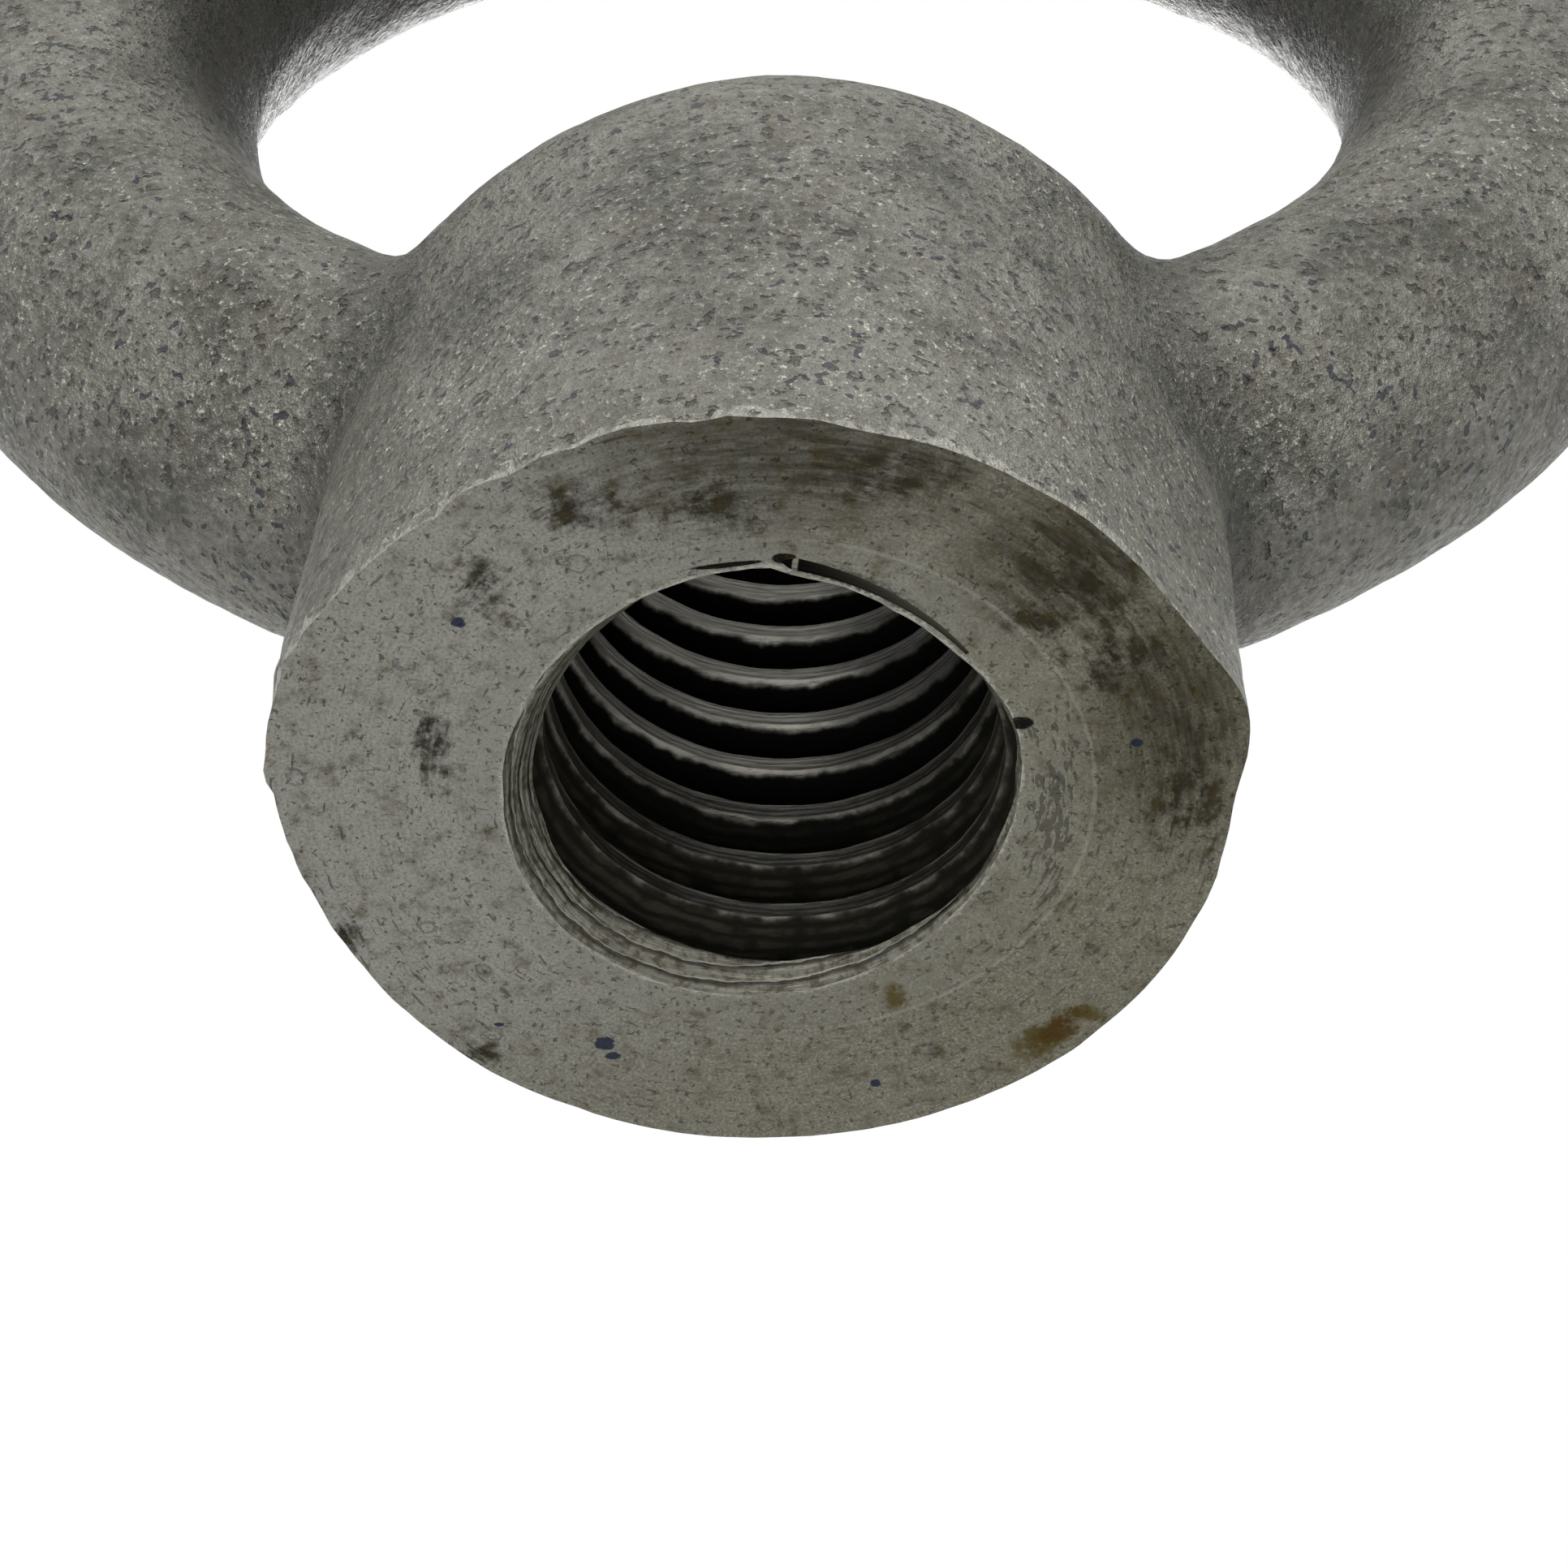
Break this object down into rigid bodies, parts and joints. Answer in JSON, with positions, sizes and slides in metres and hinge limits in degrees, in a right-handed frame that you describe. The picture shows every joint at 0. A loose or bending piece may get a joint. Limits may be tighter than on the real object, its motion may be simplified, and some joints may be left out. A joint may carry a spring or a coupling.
{
  "type": "lifting eye nut",
  "caption": "Forged steel lifting eye nut: a round tapped boss with a flat turned bearing face and a closed ring eye above it.",
  "frame": {"origin": "on the thread's axis, in the turned bearing face", "axes": "+Z along the thread's axis from the bearing face up into the eye, +X across the eye in its plane, Y along the eye's own axis, the way a hook passes through it"},
  "size_m": [0.05, 0.0208, 0.0558],
  "materials": {
    "forged_steel": "grit-blasted forging skin, turned bearing face"
  },
  "bodies": {
    "root": {"eye_nut": "forged_steel"}
  },
  "joints": []
}
